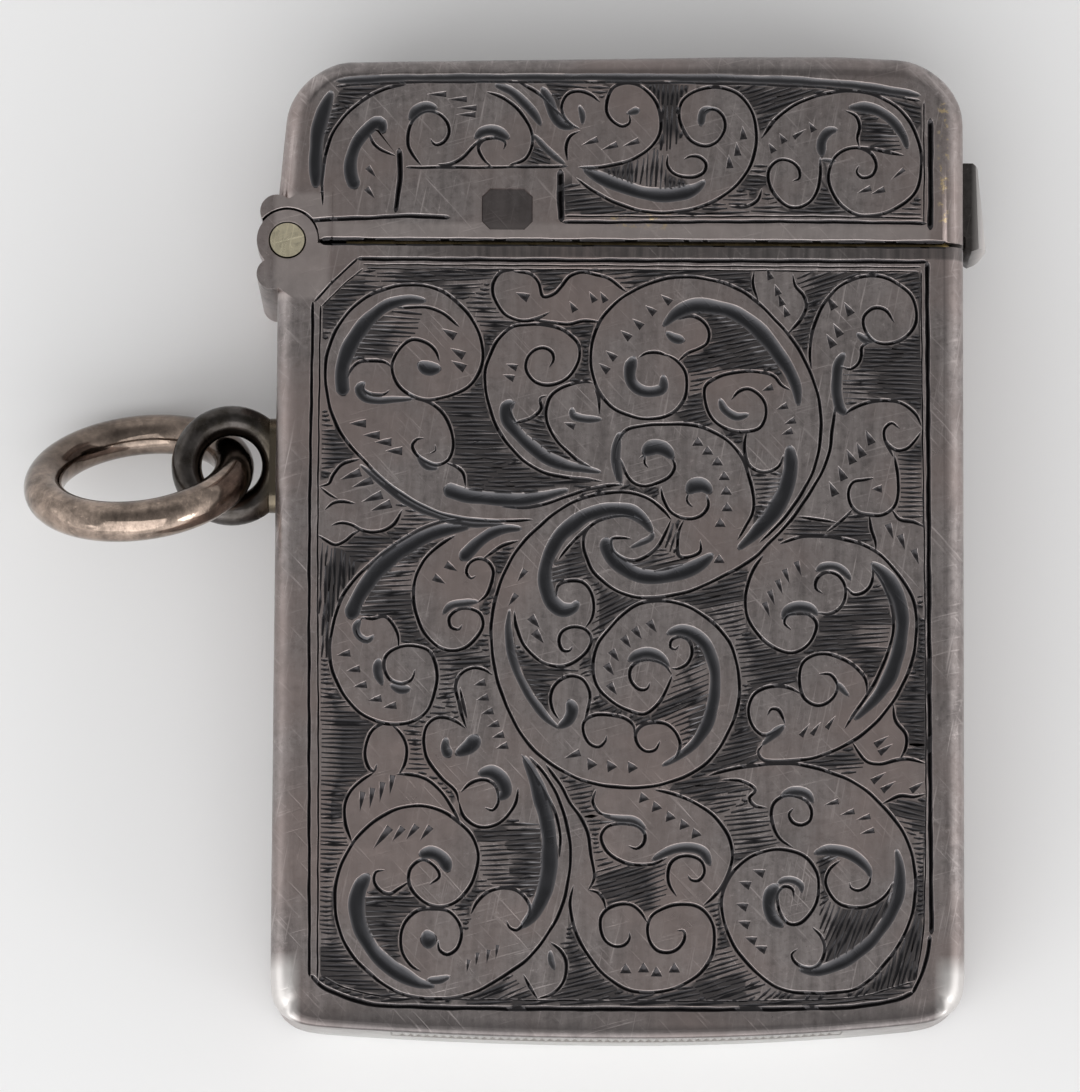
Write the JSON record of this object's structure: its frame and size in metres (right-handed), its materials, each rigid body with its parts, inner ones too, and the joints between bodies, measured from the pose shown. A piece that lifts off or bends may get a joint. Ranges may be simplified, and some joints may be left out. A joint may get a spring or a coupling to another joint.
{
  "type": "vesta case",
  "caption": "Flat silver match case with a sprung side-hinged lid, ribbed striker end, soldered loop and chain ring.",
  "frame": {"origin": "middle of the flat back face, which lies on the table", "axes": "+X across the width, away from the hinge; +Y along the case towards the lid; +Z out of the front face"},
  "size_m": [0.0493, 0.05, 0.0102],
  "materials": {
    "silver": "worn tarnished silver, engraved",
    "dark_silver": "heavily tarnished silver wire",
    "gilt": "worn gilding on silver",
    "pin_metal": "pale nickel brass, filed flush",
    "spring_steel": "blued spring steel, dulled"
  },
  "bodies": {
    "case_body": {"body_front_shell": "silver", "body_back_shell": "silver", "front_hinge_cheek": "silver", "back_hinge_cheek": "silver", "mouth_bezel": "gilt", "striker_plate": "silver", "hinge_pin": "pin_metal", "lid_spring": "spring_steel", "spring_rivet": "silver", "suspension_loop": "dark_silver"},
    "lid": {"lid_front_shell": "silver", "lid_back_shell": "silver", "lid_hinge_block": "silver", "thumb_piece": "silver"},
    "ring": {"suspension_ring": "dark_silver"}
  },
  "joints": [
    {"name": "lid_hinge", "type": "hinge", "parent": "case_body", "child": "lid", "pos_m": [-0.017, 0.0153, 0.005], "axis": [0, 0, 1], "range_deg": [0, 80]},
    {"name": "ring_swing", "type": "hinge", "parent": "case_body", "child": "ring", "pos_m": [-0.0199, 0.0044, 0.005], "axis": [0, 0, 1], "range_deg": [-65, 50]}
  ]
}
